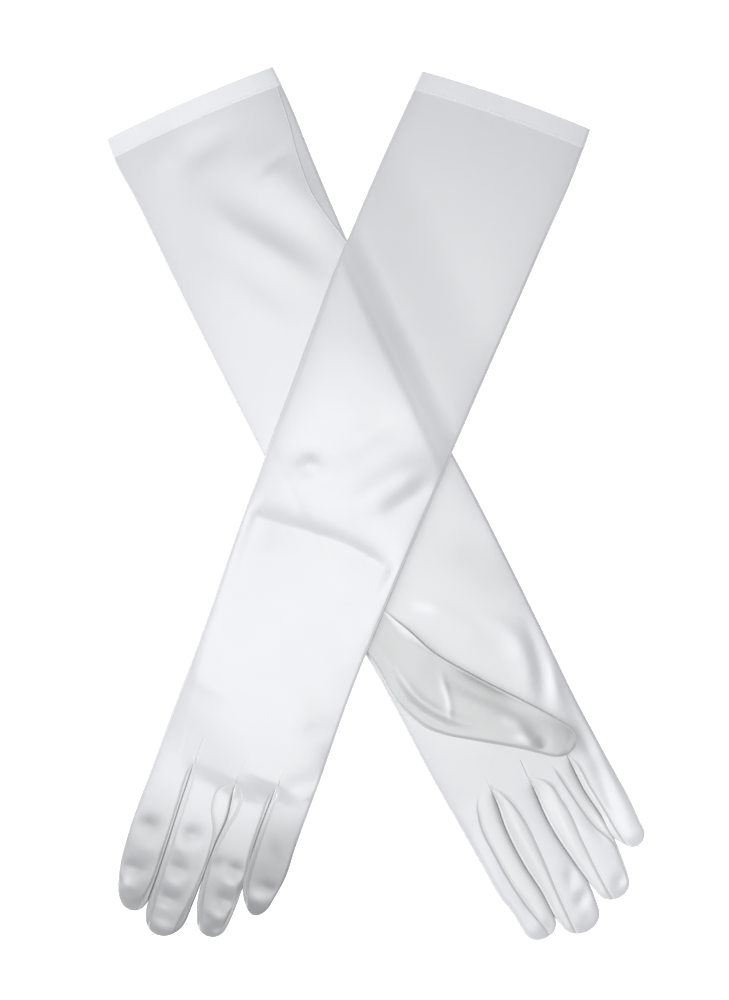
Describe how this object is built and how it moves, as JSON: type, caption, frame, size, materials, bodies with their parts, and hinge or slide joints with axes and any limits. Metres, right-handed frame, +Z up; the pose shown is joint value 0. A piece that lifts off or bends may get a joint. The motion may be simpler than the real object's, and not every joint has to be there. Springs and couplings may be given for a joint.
{
  "type": "opera gloves",
  "caption": "Long plain satin opera gloves laid flat and crossed, a back-up glove over a palm-up one, with set-in thumbs, strip-sided fingers and hemmed cuffs.",
  "frame": {"origin": "bottom centre of the pair's bounding box, on the surface that the gloves lie on", "axes": "+Z up from that surface, +Y along the pair's longest extent towards the cuffs, +X towards the fingers of the lower, right glove"},
  "size_m": [0.331, 0.5424, 0.0149],
  "materials": {
    "satin": "satin",
    "fourchette_satin": "satin",
    "thread": "satin"
  },
  "bodies": {
    "right_glove": {"right_palm": "satin", "right_back": "satin", "right_cuff_hem": "satin", "right_hem_stitching": "thread", "right_side_seam": "thread", "right_thumb_hood": "satin", "right_thumb_seam": "thread", "right_bar_tacks": "thread"},
    "right_thumb": {"right_thumb_outer": "satin", "right_thumb_inner": "satin"},
    "right_index": {"right_index_palm": "satin", "right_index_back": "satin", "right_index_fourchette": "fourchette_satin"},
    "right_middle": {"right_middle_palm": "satin", "right_middle_back": "satin", "right_middle_fourchette_near": "fourchette_satin", "right_middle_fourchette_far": "fourchette_satin"},
    "right_ring": {"right_ring_palm": "satin", "right_ring_back": "satin", "right_ring_fourchette_near": "fourchette_satin", "right_ring_fourchette_far": "fourchette_satin"},
    "right_little": {"right_little_palm": "satin", "right_little_back": "satin", "right_little_fourchette": "fourchette_satin"},
    "left_glove": {"left_palm": "satin", "left_back": "satin", "left_cuff_hem": "satin", "left_hem_stitching": "thread", "left_side_seam": "thread", "left_thumb_hood": "satin", "left_thumb_seam": "thread", "left_bar_tacks": "thread"},
    "left_thumb": {"left_thumb_outer": "satin", "left_thumb_inner": "satin"},
    "left_index": {"left_index_palm": "satin", "left_index_back": "satin", "left_index_fourchette": "fourchette_satin"},
    "left_middle": {"left_middle_palm": "satin", "left_middle_back": "satin", "left_middle_fourchette_near": "fourchette_satin", "left_middle_fourchette_far": "fourchette_satin"},
    "left_ring": {"left_ring_palm": "satin", "left_ring_back": "satin", "left_ring_fourchette_near": "fourchette_satin", "left_ring_fourchette_far": "fourchette_satin"},
    "left_little": {"left_little_palm": "satin", "left_little_back": "satin", "left_little_fourchette": "fourchette_satin"}
  },
  "joints": [
    {"name": "left_glove_lift", "type": "slide", "parent": "right_glove", "child": "left_glove", "axis": [0, 0, 1], "range_m": [0, 0.16]},
    {"name": "right_index_bend", "type": "hinge", "parent": "right_glove", "child": "right_index", "pos_m": [0.06269, -0.19175, 0.0066], "axis": [-0.9018, -0.4321, 0], "range_deg": [0, 90]},
    {"name": "right_middle_bend", "type": "hinge", "parent": "right_glove", "child": "right_middle", "pos_m": [0.08655, -0.18032, 0.0066], "axis": [-0.9018, -0.4321, 0], "range_deg": [0, 90]},
    {"name": "right_ring_bend", "type": "hinge", "parent": "right_glove", "child": "right_ring", "pos_m": [0.10972, -0.16921, 0.0066], "axis": [-0.9018, -0.4321, 0], "range_deg": [0, 90]},
    {"name": "right_little_bend", "type": "hinge", "parent": "right_glove", "child": "right_little", "pos_m": [0.13123, -0.15891, 0.0066], "axis": [-0.9018, -0.4321, 0], "range_deg": [0, 90]},
    {"name": "right_thumb_lift", "type": "hinge", "parent": "right_glove", "child": "right_thumb", "pos_m": [0.01494, -0.09391, 0.0137], "axis": [-0.4555, -0.8902, 0], "range_deg": [0, 90]},
    {"name": "left_index_bend", "type": "hinge", "parent": "left_glove", "child": "left_index", "pos_m": [-0.12671, -0.16608, 0.0066], "axis": [-0.9259, 0.3778, 0], "range_deg": [0, 90]},
    {"name": "left_middle_bend", "type": "hinge", "parent": "left_glove", "child": "left_middle", "pos_m": [-0.1019, -0.1762, 0.0066], "axis": [-0.9259, 0.3778, 0], "range_deg": [0, 90]},
    {"name": "left_ring_bend", "type": "hinge", "parent": "left_glove", "child": "left_ring", "pos_m": [-0.07792, -0.18599, 0.0066], "axis": [-0.9259, 0.3778, 0], "range_deg": [0, 90]},
    {"name": "left_little_bend", "type": "hinge", "parent": "left_glove", "child": "left_little", "pos_m": [-0.05625, -0.19483, 0.0066], "axis": [-0.9259, 0.3778, 0], "range_deg": [0, 90]},
    {"name": "left_thumb_lift", "type": "hinge", "parent": "left_glove", "child": "left_thumb", "pos_m": [-0.08025, -0.06746, 0], "axis": [0.9655, 0.2605, 0], "range_deg": [0, 90]}
  ]
}
